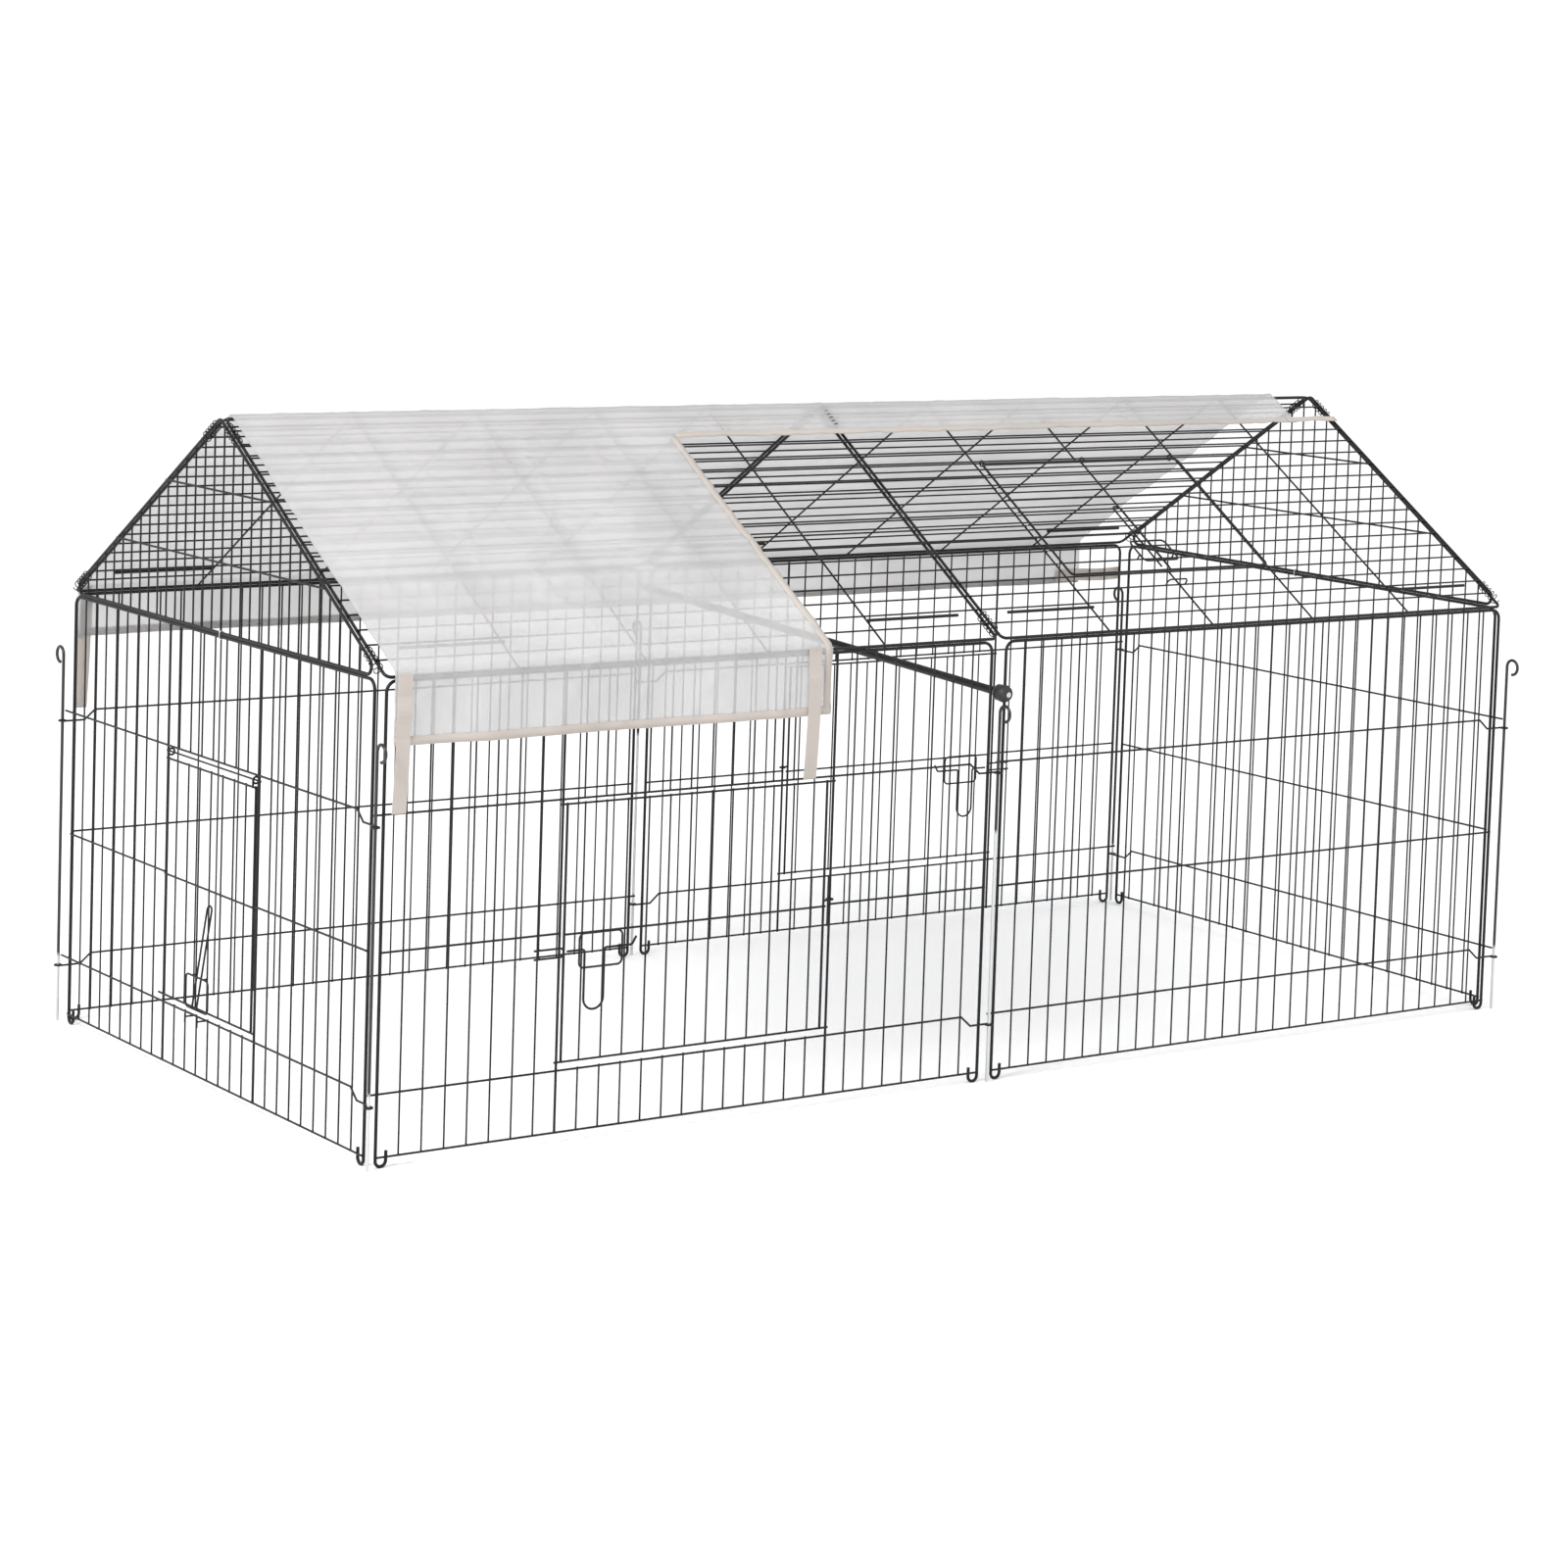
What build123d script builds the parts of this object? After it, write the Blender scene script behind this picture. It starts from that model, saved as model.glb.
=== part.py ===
from build123d import *
import math
import os

# Outdoor dog kennel: a run of six welded wire wall panels, a wire gable roof in four panels, three
# doors, a roof hatch, drop-in corner pins and an L-shaped rain cover. All sizes are millimetres.
# X runs along the ridge, Y from the front wall to the back wall and Z up from the ground. The
# origin is on the ground at the middle of the run.

# Overall run, wire centre to wire centre
RUN_LENGTH = 2200.0
RUN_DEPTH = 1030.0
EAVE_HEIGHT = 700.0
RIDGE_TOP = 1030.0

# Wires
BAR_D = 2.8
RAIL_D = 3.2
FRAME_D = 5.0
WELD_BITE = 0.25
PIECE_GAP = 0.3

# Wall panels
CORNER_GAP = 9.0
MIDDLE_GAP = 14.0
END_PANEL_WIDTH = 994.0
LONG_PITCHES = 29
END_PITCHES = 26
FOOT_RAIL_Z = 16.0
LOW_RAIL_Z = 108.0
MID_RAIL_Z = 312.0
HIGH_RAIL_Z = 510.0
PANEL_CORNER_R = 16.0
FOOT_HOOK_R = 8.5
FOOT_HOOK_RISE = 14.0
FOOT_FLAT = 0.5

# The block under the floor that flattens the feet, and how far it passes the panel
FLOOR_BLOCK_DEPTH = 60.0
FLOOR_BLOCK_HEIGHT = 20.0
FLOOR_BLOCK_PAST = 50.0

# Eyes that the pins drop through
EYE_R = 5.6
EYE_DROP = 16.0

# Pins
PIN_D = 5.0
CORNER_PIN_TOP_Z = 613.5
MIDDLE_PIN_TOP_Z = 601.0
CURL_R = 12.5

# Doors in the walls
DOOR_LEFT_PITCH = 8
DOOR_RIGHT_PITCH = 21
END_DOOR_LEFT_PITCH = 9
END_DOOR_RIGHT_PITCH = 17
JAMB_D = 4.0
DOOR_STILE_D = 4.0
DOOR_BOTTOM_Z = 121.0
DOOR_MIDDLE_Z = 310.0
DOOR_TOP_Z = 503.0
DOOR_SIDE_GAP = 2.4
DOOR_STOP_REACH = 5.0
HINGE_EYE_R = 5.0
HINGE_STILE_INSET = 13.0
MIDDLE_EYE_RISE = 9.0
END_HINGE_GAP = 1.0

# Slide bolt with a hanging handle, on the two long doors
LATCH_WIRE_D = 3.5
LATCH_FRAME_WIDTH = 74.0
LATCH_FRAME_HEIGHT = 51.0
LATCH_FRAME_R = 8.0
LATCH_FRAME_INSET = 36.0
LATCH_CLEAR = 0.35
BOLT_DROP = 25.0
BOLT_TIP_INSET = 15.0
BOLT_HANDLE_INSET = 45.0
BOLT_HANDLE_WIDTH = 34.0
BOLT_HANDLE_LENGTH = 90.0
BOLT_TAIL = 48.0
BOLT_HOOK_RISE = 12.0
BOLT_HOOK_LEAN = 0.6
BOLT_BEND_R = 4.0
BOLT_HOOK_BEND_R = 5.0
BEND_ROOM = 0.2
KEEPER_HEIGHT = 13.0
KEEPER_REACH = 2.0
KEEPER_TAIL = 44.0

# Hairpin bolt, on the end door and the hatch
HAIRPIN_WIDTH = 15.0
HAIRPIN_LENGTH = 160.0
HAIRPIN_LEAN = 8.5
HAIRPIN_SIDE = 12.0
HAIRPIN_TIP_CLEAR = 5.0
HAIRPIN_TRAVEL = 10.0
ARCH_WIDTH = 41.0
ARCH_RISE = 9.0
ARCH_R = 6.0

# Roof panels
ROOF_EDGE_INSET = 7.5
ROOF_MIDDLE_INSET = 4.9
ROOF_ROWS = 18
ROOF_COLUMNS = 5
ROOF_WIRE_OVERHANG = 4.0
ROOF_CORNER_R = 10.0
STIFFENER_D = 5.0
STIFFENER_UP = 56.0
STIFFENER_GAP = 45.0

# Roof hatch
HATCH_FIRST_COLUMN = 1
HATCH_LAST_COLUMN = 3
HATCH_FIRST_ROW = 5
HATCH_LAST_ROW = 14
HATCH_GAP = 6.6
HATCH_FRAME_D = 4.0
HATCH_EYE_R = 4.6
HATCH_EYE_SHIFT = 10.0
HATCH_WIRE_OVERHANG = 0.5

# Gables
GABLE_PITCHES = 33
GABLE_LOW_RAIL_Z = 812.0
GABLE_HIGH_RAIL_Z = 920.0
GABLE_CORNER_R = 12.0

# Spiral clips that hold the roof together
CLIP_WIRE_D = 1.6
CLIP_TURNS = 5
CLIP_PITCH = 9.0
CLIP_CLEAR = 0.4
MIDDLE_CLIP_STARTS = (13.5, 542.5)
GABLE_CLIP_STARTS = (16.5, 543.75)

# Cross tube and its fixings
TUBE_D = 13.0
TUBE_WALL = 1.0
PLUG_LENGTH = 24.0
PLUG_GAP = 0.05
SCREW_GAP = 0.3
TUBE_FRONT_Z = 621.0
TUBE_BACK_Z = 665.0
TUBE_END_GAP = 1.0
KNOB_D = 28.0
KNOB_FLAT = 3.0
KNOB_POCKET = 6.0
WASHER_D = 27.0
WASHER_T = 1.5
SCREW_D = 5.0
SCREW_HEAD_D = 9.0
SCREW_HEAD_T = 2.6
SCREW_LENGTH = 22.0

# Rain cover
COVER_T = 1.2
COVER_LIFT = 10.6
COVER_LEFT_X = -1084.0
COVER_FLAP_X = -329.0
COVER_RIGHT_X = 1000.0
COVER_STRIP = 84.0
VALANCE_STANDOFF = 9.5
FRONT_VALANCE_Z = 608.0
BACK_VALANCE_Z = 630.0
STRAP_W = 23.0
STRAP_T = 1.0
STRAP_END_Z = 512.0
LEVEL_STRAP_Z = 645.0
LEVEL_STRAP_START_X = 938.0
LEVEL_STRAP_END_X = 1095.0
LEFT_STRAP_X = -1062.0
RIGHT_STRAP_X = -367.0

# Corner radius of an octagon, over the radius of a circle with the same area
OCTAGON_CORNER = math.sqrt(math.pi / math.sqrt(8))

# A bend's ball stands a little proud of the flats that meet in it
BEND_BALL = OCTAGON_CORNER * 1.02

# Worked out from the sizes above
bar_r, rail_r, frame_r, pin_r = BAR_D / 2, RAIL_D / 2, FRAME_D / 2, PIN_D / 2
half_length, half_depth = RUN_LENGTH / 2, RUN_DEPTH / 2
long_panel_width = half_length - CORNER_GAP - MIDDLE_GAP
long_panel_x = (half_length - CORNER_GAP + MIDDLE_GAP) / 2
long_pitch = long_panel_width / LONG_PITCHES
end_pitch = END_PANEL_WIDTH / END_PITCHES
rail_out = bar_r + rail_r - WELD_BITE
pin_out = rail_out + EYE_R
roof_rest_z = EAVE_HEIGHT + FRAME_D + PIECE_GAP
ridge_wire_y = frame_r + PIECE_GAP / 2
ridge_wire_z = RIDGE_TOP - frame_r
slope_rise = ridge_wire_z - roof_rest_z
slope_run = half_depth - ridge_wire_y
slope_length = math.hypot(slope_rise, slope_run)
slope_angle = math.degrees(math.atan2(slope_rise, slope_run))
roof_row = slope_length / ROOF_ROWS
roof_width = half_length - ROOF_EDGE_INSET - ROOF_MIDDLE_INSET
roof_column = roof_width / ROOF_COLUMNS
row_out = frame_r + bar_r - WELD_BITE
column_out = row_out - (bar_r + rail_r - WELD_BITE)


def round_bar(start, end, radius):
    """A straight round wire from start to end."""
    a, b = Vector(*start), Vector(*end)
    return Solid.make_cylinder(radius, (b - a).length, Plane(origin=a, z_dir=b - a))


def flat_bar(start, end, radius):
    """A straight wire with eight flats and a round one's section area, for what round wires cross."""
    a, b = Vector(*start), Vector(*end)
    along = b - a
    across = Vector(0, 0, 1) if abs(along.Z) < 0.9 * along.length else Vector(1, 0, 0)
    plane = Plane(origin=a, x_dir=along.cross(across), z_dir=along)
    corner = radius * OCTAGON_CORNER
    turns = [math.pi * (2 * i + 1) / 8 for i in range(8)]
    ring = [plane.from_local_coords(Vector(corner * math.cos(t), corner * math.sin(t), 0)) for t in turns]
    return Solid.extrude(Face(Wire.make_polygon(ring)), along)


def bent_wire(path, radius):
    """A round wire swept along a path of lines and arcs."""
    section = Plane(origin=path @ 0, z_dir=path % 0) * Circle(radius)
    return sweep(section, path=path).solid()


def eye(centre, ring_r, wire_r, axis):
    """A closed wire eye round the given axis."""
    return Solid.make_torus(ring_r, wire_r, Plane(origin=centre, z_dir=axis))


def weld(parts):
    """Join crossing wires into one piece."""
    return parts[0].fuse(*parts[1:])


def one_piece(name, shape):
    """A welded piece is a single solid; anything else is said in the build's output."""
    found = shape.solids()
    if len(found) != 1:
        print(f"{name} is {len(found)} solids")
    return found[0] if len(found) == 1 else shape


# Wall panels are drawn with X to the right as seen from outside, Y inwards and Z up


def panel_frame(width):
    """The thick wire round a panel, from one foot hook over the top to the other, in three runs."""
    edge = width / 2
    hook_z = FOOT_HOOK_R + frame_r - FOOT_FLAT
    inner = edge - 2 * FOOT_HOOK_R
    tip_z = hook_z + FOOT_HOOK_RISE
    top = EAVE_HEIGHT
    turn = PANEL_CORNER_R
    bend = turn * (1 - math.sqrt(0.5))
    parts = [flat_bar((turn - edge, 0, top), (edge - turn, 0, top), frame_r)]
    for side in (-1, 1):
        with BuildLine() as path:
            Line((side * inner, 0, tip_z), (side * inner, 0, hook_z))
            under = (side * (edge - FOOT_HOOK_R), 0, hook_z - FOOT_HOOK_R)
            ThreePointArc((side * inner, 0, hook_z), under, (side * edge, 0, hook_z))
            Line((side * edge, 0, hook_z), (side * edge, 0, top - turn))
            corner = (side * (edge - bend), 0, top - bend)
            ThreePointArc((side * edge, 0, top - turn), corner, (side * (edge - turn), 0, top))
        parts.append(bent_wire(path.line, frame_r))
    return parts


def rail(x0, x1, z):
    return flat_bar((x0, -rail_out, z), (x1, -rail_out, z), rail_r)


def eye_rail(width, pitch, z, gap_left, gap_right):
    """A rail with an eye at each end: straight on the left, dropped on the right."""
    left_x, right_x = -width / 2 - gap_left, width / 2 + gap_right
    bend_x = width / 2 - pitch
    low_x = bend_x + pitch / 2
    low_z = z - EYE_DROP
    corner = rail_r * BEND_BALL
    parts = [rail(left_x, bend_x, z)]
    parts.append(flat_bar((bend_x, -rail_out, z), (low_x, -rail_out, low_z), rail_r))
    parts.append(rail(low_x, right_x, low_z))
    parts.append(Solid.make_sphere(corner, Plane(origin=(bend_x, -rail_out, z))))
    parts.append(Solid.make_sphere(corner, Plane(origin=(low_x, -rail_out, low_z))))
    parts.append(eye((left_x, -pin_out, z), EYE_R, rail_r, (0, 0, 1)))
    parts.append(eye((right_x, -pin_out, low_z), EYE_R, rail_r, (0, 0, 1)))
    return parts


def wall_panel(name, width, pitches, gap_left, gap_right, doorway=None, keeper=None):
    """One welded wall panel; doorway is the pair of pitches that its opening runs between."""
    pitch = width / pitches
    edge = width / 2
    parts = panel_frame(width) + [rail(-edge, edge, FOOT_RAIL_Z)]
    for z in (LOW_RAIL_Z, HIGH_RAIL_Z):
        parts += eye_rail(width, pitch, z, gap_left, gap_right)
    if doorway:
        left, right = (-edge + pitch * i for i in doorway)
        parts += [rail(-edge, left, MID_RAIL_Z), rail(right, edge, MID_RAIL_Z)]
    else:
        parts.append(rail(-edge, edge, MID_RAIL_Z))
    for i in range(1, pitches):
        x = -edge + pitch * i
        top = EAVE_HEIGHT - frame_r + WELD_BITE
        if doorway and i in doorway:
            parts.append(round_bar((x, 0, FOOT_RAIL_Z - rail_r), (x, 0, top), JAMB_D / 2))
        elif doorway and doorway[0] < i < doorway[1]:
            parts.append(round_bar((x, 0, FOOT_RAIL_Z - rail_r), (x, 0, LOW_RAIL_Z + rail_r), bar_r))
            parts.append(round_bar((x, 0, HIGH_RAIL_Z - rail_r), (x, 0, top), bar_r))
        else:
            parts.append(round_bar((x, 0, FOOT_RAIL_Z - rail_r), (x, 0, top), bar_r))
    if keeper:
        parts += keeper()
    welded = weld(parts)
    block = Box(width + 2 * FLOOR_BLOCK_PAST, FLOOR_BLOCK_DEPTH, FLOOR_BLOCK_HEIGHT)
    below = Pos(0, 0, -FLOOR_BLOCK_HEIGHT / 2) * block
    return one_piece(name, welded.cut(below))


# A long door hangs from eyes round its right jamb. These are its levels, outwards from the jambs
door_rail_out = HINGE_EYE_R
door_bar_out = door_rail_out - (bar_r + rail_r - WELD_BITE)
latch_r = LATCH_WIRE_D / 2
bolt_out = door_bar_out + DOOR_STILE_D / 2 + LATCH_CLEAR + latch_r
latch_frame_out = bolt_out + latch_r + LATCH_CLEAR + rail_r
long_edge = long_panel_width / 2
door_left = -long_edge + long_pitch * DOOR_LEFT_PITCH
door_right = -long_edge + long_pitch * DOOR_RIGHT_PITCH
end_edge = END_PANEL_WIDTH / 2
end_door_left = -end_edge + end_pitch * END_DOOR_LEFT_PITCH
end_door_right = -end_edge + end_pitch * END_DOOR_RIGHT_PITCH


def loop_path(plane, width, height, corner):
    """A closed round-cornered rectangle, centred in the plane."""
    return plane * RectangleRounded(width, height, corner).wire()


def wire_loop(plane, width, height, corner, radius):
    """A closed wire round a round-cornered rectangle."""
    path = loop_path(plane, width, height, corner)
    section = Plane(origin=path @ 0, z_dir=path % 0) * Circle(radius)
    return sweep(section, path=path).solid()


def latch_frame(centre_x, top_z, weld_out, post):
    """The wire rectangle that a bolt runs behind, on two short posts from the door's wires."""
    middle = (centre_x, -latch_frame_out, top_z - LATCH_FRAME_HEIGHT / 2)
    upright = Plane(origin=middle, x_dir=(1, 0, 0), z_dir=(0, -1, 0))
    parts = [wire_loop(upright, LATCH_FRAME_WIDTH, LATCH_FRAME_HEIGHT, LATCH_FRAME_R, rail_r)]
    for x in (centre_x - post, centre_x + post):
        parts.append(round_bar((x, -weld_out, top_z), (x, -latch_frame_out, top_z), bar_r))
    return parts


latch_centre_x = door_left + LATCH_FRAME_INSET + LATCH_FRAME_WIDTH / 2 - BOLT_TIP_INSET / 2


def long_door():
    """A side-hinged door, drawn in its panel's place."""
    left = door_left + JAMB_D / 2 + DOOR_SIDE_GAP + DOOR_STILE_D / 2
    stile_r = DOOR_STILE_D / 2
    parts = []
    hinge_stile = door_right - HINGE_STILE_INSET
    reach = door_left - JAMB_D / 2 - DOOR_STOP_REACH
    for z in (DOOR_BOTTOM_Z, DOOR_TOP_Z):
        parts.append(flat_bar((reach, -door_rail_out, z), (door_right, -door_rail_out, z), rail_r))
    near, far = left - stile_r, hinge_stile + stile_r
    parts.append(flat_bar((near, -door_rail_out, DOOR_MIDDLE_Z), (far, -door_rail_out, DOOR_MIDDLE_Z), rail_r))
    hinge_z = DOOR_MIDDLE_Z + MIDDLE_EYE_RISE
    eye_ends = (hinge_stile, -door_rail_out, hinge_z), (door_right, -door_rail_out, hinge_z)
    parts.append(flat_bar(*eye_ends, rail_r))
    for z in (DOOR_BOTTOM_Z, hinge_z, DOOR_TOP_Z):
        parts.append(eye((door_right, 0, z), HINGE_EYE_R, rail_r, (0, 0, 1)))
    low, high = DOOR_BOTTOM_Z - rail_r, DOOR_TOP_Z + rail_r
    for x in (left, hinge_stile):
        parts.append(round_bar((x, -door_bar_out, low), (x, -door_bar_out, high), stile_r))
    for i in range(DOOR_LEFT_PITCH + 1, DOOR_RIGHT_PITCH):
        x = -long_edge + long_pitch * i
        parts.append(round_bar((x, -door_bar_out, low), (x, -door_bar_out, high), bar_r))
    post = LATCH_FRAME_WIDTH / 2 - 2 * LATCH_FRAME_R
    parts += latch_frame(latch_centre_x, DOOR_MIDDLE_Z, door_rail_out, post)
    return one_piece("long_door", weld(parts))


def handle_bolt():
    """One bent wire: a rod that slides behind the frame, with a hanging loop to hold."""
    z = DOOR_MIDDLE_Z - BOLT_DROP
    tip = door_left + BOLT_TIP_INSET - DOOR_STOP_REACH
    drop_left = tip + BOLT_HANDLE_INSET - BOLT_TIP_INSET
    drop_right = drop_left + BOLT_HANDLE_WIDTH
    tail = drop_right + BOLT_TAIL
    low = z - BOLT_HANDLE_LENGTH
    points = [(tip, z), (drop_left, z), (drop_left, low), (drop_right, low), (drop_right, z), (tail, z)]
    points.append((tail + BOLT_HOOK_LEAN * BOLT_HOOK_RISE, z + BOLT_HOOK_RISE))
    handle_bend = BOLT_HANDLE_WIDTH / 2 - BEND_ROOM
    bends = [BOLT_BEND_R, handle_bend, handle_bend, BOLT_BEND_R, BOLT_HOOK_BEND_R]
    path = FilletPolyline(*[(x, -bolt_out, h) for x, h in points], radius=bends)
    return one_piece("handle_bolt", bent_wire(path, latch_r))


def handle_keeper():
    """A hairpin beside the doorway, which the bolt's tip slides behind."""
    z = DOOR_MIDDLE_Z - BOLT_DROP
    nose = door_left + KEEPER_REACH - KEEPER_HEIGHT / 2
    tail = nose - KEEPER_TAIL
    top, low = z + KEEPER_HEIGHT / 2, z - KEEPER_HEIGHT / 2
    out = -latch_frame_out
    with BuildLine() as path:
        Line((tail, out, top), (nose, out, top))
        ThreePointArc((nose, out, top), (nose + KEEPER_HEIGHT / 2, out, z), (nose, out, low))
        Line((nose, out, low), (tail, out, low))
    parts = [bent_wire(path.line, rail_r)]
    post_x = -long_edge + long_pitch * (DOOR_LEFT_PITCH - 1)
    for level in (top, low):
        parts.append(round_bar((post_x, 0, level), (post_x, out, level), bar_r))
    return parts


# The end door hangs from eyes round a rod under the high rail, and opens upwards
end_hinge_z = HIGH_RAIL_Z - HINGE_EYE_R - 2 * rail_r - END_HINGE_GAP


def end_hinge_rod():
    """The rod across the end doorway that the door hangs from, welded behind its jambs."""
    reach = JAMB_D
    ends = ((end_door_left - reach, 0, end_hinge_z), (end_door_right + reach, 0, end_hinge_z))
    return [flat_bar(ends[0], ends[1], bar_r)]


def hairpin_plane(origin, up, out, lean_angle):
    """The plane of a leaning hairpin: X across, Y up its legs."""
    lean = math.radians(lean_angle)
    legs = Vector(*up) * math.cos(lean) - Vector(*out) * math.sin(lean)
    face = Vector(*out) * math.cos(lean) + Vector(*up) * math.sin(lean)
    return Plane(origin=origin, x_dir=legs.cross(face), z_dir=face)


def hairpin_bolt(origin, up, out, lean_angle=0.0):
    """A narrow U of wire with both legs down; origin is between its tips."""
    plane = hairpin_plane(origin, up, out, lean_angle)
    half = HAIRPIN_WIDTH / 2
    straight = HAIRPIN_LENGTH - half
    where = [(half, 0), (half, straight), (0, straight + half), (-half, straight), (-half, 0)]
    a, b, c, d, e = (plane.from_local_coords(Vector(x, y, 0)) for x, y in where)
    with BuildLine() as path:
        Line(a, b)
        ThreePointArc(b, c, d)
        Line(d, e)
    return one_piece("hairpin_bolt", bent_wire(path.line, rail_r))


# The end bolt leans out behind its frame's top wire and in front of the bottom one
end_latch_x = -end_pitch / 2
end_frame_top_z = DOOR_BOTTOM_Z + LATCH_FRAME_HEIGHT
end_tip_z = LOW_RAIL_Z + ARCH_RISE + HAIRPIN_TIP_CLEAR
lean_slope = math.tan(math.radians(HAIRPIN_LEAN))
end_tip_out = latch_frame_out - 2 * rail_r - LATCH_CLEAR + (end_frame_top_z - end_tip_z) * lean_slope
end_arch_out = end_tip_out + HAIRPIN_TRAVEL * lean_slope + rail_r + LATCH_CLEAR + bar_r


def end_arch(centre_x):
    """The arch on the panel's low rail that the hairpin's tips slide behind."""
    half = ARCH_WIDTH / 2
    out = -end_arch_out
    base = LOW_RAIL_Z - ARCH_RISE
    top = LOW_RAIL_Z + ARCH_RISE
    points = [(-half, base), (-half, top), (half, top), (half, base)]
    path = FilletPolyline(*[(centre_x + x, out, z) for x, z in points], radius=ARCH_R)
    parts = [bent_wire(path, bar_r)]
    for x in (centre_x - half, centre_x + half):
        parts.append(round_bar((x, -rail_out, LOW_RAIL_Z), (x, out, LOW_RAIL_Z), bar_r))
    return parts


def end_door():
    """The top-hinged door in the end panel, drawn in its panel's place."""
    stile_r = DOOR_STILE_D / 2
    left = end_door_left + JAMB_D / 2 + DOOR_SIDE_GAP + stile_r
    right = end_door_right - JAMB_D / 2 - DOOR_SIDE_GAP - stile_r
    top = end_hinge_z - 2 * HINGE_EYE_R
    parts = []
    reach = JAMB_D / 2 + DOOR_STOP_REACH
    parts.append(flat_bar((end_door_left - reach, -door_rail_out, DOOR_BOTTOM_Z),
                          (end_door_right + reach, -door_rail_out, DOOR_BOTTOM_Z), rail_r))
    for z in (DOOR_MIDDLE_Z, top):
        parts.append(flat_bar((left, -door_rail_out, z), (right, -door_rail_out, z), rail_r))
    low = DOOR_BOTTOM_Z - rail_r
    for x in (left, right):
        parts.append(round_bar((x, -door_bar_out, low), (x, -door_bar_out, top + rail_r), stile_r))
    for i in range(END_DOOR_LEFT_PITCH + 1, END_DOOR_RIGHT_PITCH):
        x = -end_edge + end_pitch * i
        parts.append(round_bar((x, -door_bar_out, low), (x, -door_bar_out, top + rail_r), bar_r))
    for x in (left + 3 * rail_r, right - 3 * rail_r):
        parts.append(eye((x, 0, end_hinge_z), HINGE_EYE_R, rail_r, (1, 0, 0)))
        parts.append(flat_bar((x, -door_rail_out, end_hinge_z), (x, -door_rail_out, top - rail_r), rail_r))
    parts += latch_frame(end_latch_x, end_frame_top_z, door_bar_out, end_pitch / 2)
    return one_piece("end_door", weld(parts))


# Roof panels are drawn with X along the ridge from the middle of the run, Y up the slope from the
# eave wire and Z out of the slope


def roof_plane(front):
    """Where a quarter of the roof stands in the run."""
    side = -1 if front else 1
    up = Vector(0, -side * math.cos(math.radians(slope_angle)), math.sin(math.radians(slope_angle)))
    out = Vector(0, side * math.sin(math.radians(slope_angle)), math.cos(math.radians(slope_angle)))
    return Plane(origin=(0, side * half_depth, roof_rest_z), x_dir=up.cross(out), z_dir=out)


def roof_panel(name, hatch=False):
    """One quarter of the roof, with rows along the ridge and columns down the slope."""
    inner, outer = ROOF_MIDDLE_INSET, ROOF_MIDDLE_INSET + roof_width
    middle = Plane(origin=((inner + outer) / 2, slope_length / 2, 0))
    parts = [wire_loop(middle, roof_width, slope_length, ROOF_CORNER_R, frame_r)]
    rows = [slope_length - roof_row * i for i in range(ROOF_ROWS + 1)]
    columns = [inner + roof_column * i for i in range(ROOF_COLUMNS + 1)]
    hatch_x = columns[HATCH_FIRST_COLUMN], columns[HATCH_LAST_COLUMN]
    hatch_y = rows[HATCH_LAST_ROW], rows[HATCH_FIRST_ROW]
    for i in range(1, ROOF_ROWS):
        y = rows[i]
        ends = [(inner - ROOF_WIRE_OVERHANG, outer + ROOF_WIRE_OVERHANG)]
        if hatch and HATCH_FIRST_ROW < i < HATCH_LAST_ROW:
            ends = [(ends[0][0], hatch_x[0] + rail_r), (hatch_x[1] - rail_r, ends[0][1])]
        for x0, x1 in ends:
            parts.append(flat_bar((x0, y, row_out), (x1, y, row_out), bar_r))
    for i in range(1, ROOF_COLUMNS):
        x = columns[i]
        spans = [(frame_r - WELD_BITE, slope_length - frame_r + WELD_BITE)]
        if hatch and HATCH_FIRST_COLUMN < i < HATCH_LAST_COLUMN:
            spans = [(spans[0][0], hatch_y[0] + bar_r), (hatch_y[1] - bar_r, spans[0][1])]
        for y0, y1 in spans:
            parts.append(round_bar((x, y0, column_out), (x, y1, column_out), rail_r))
    stiff_r = STIFFENER_D / 2
    stiff_out = column_out + rail_r + stiff_r - WELD_BITE
    stiffeners = (inner + STIFFENER_GAP, columns[1] + rail_r), (outer - STIFFENER_GAP, columns[-2] - rail_r)
    for free_x, held_x in stiffeners:
        parts.append(flat_bar((free_x, STIFFENER_UP, stiff_out), (held_x, STIFFENER_UP, stiff_out), stiff_r))
    if hatch:
        parts += hatch_arch(rows, columns)
    return one_piece(name, weld(parts))


hatch_out = row_out + HATCH_EYE_R
hatch_wire_out = hatch_out - (HATCH_FRAME_D / 2 + bar_r - WELD_BITE)
hatch_bolt_out = hatch_out + HATCH_FRAME_D / 2 + LATCH_CLEAR + rail_r
hatch_guide_out = hatch_bolt_out + 2 * rail_r + LATCH_CLEAR


def hatch_arch(rows, columns):
    """The arch on the roof, below the hatch, for the hatch's hairpin."""
    x = hatch_latch_x()
    y = rows[HATCH_LAST_ROW + 1]
    half = ARCH_WIDTH / 2
    level = hatch_guide_out
    points = [(x - half, y, row_out), (x - half, y, level), (x + half, y, level), (x + half, y, row_out)]
    return [bent_wire(FilletPolyline(*points, radius=ARCH_R), bar_r)]


def hatch_latch_x():
    """The hatch's latch is a little to the ridge-middle side of the hatch's centre column."""
    return ROOF_MIDDLE_INSET + roof_column * (HATCH_FIRST_COLUMN + HATCH_LAST_COLUMN) / 2 - HAIRPIN_SIDE


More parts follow.
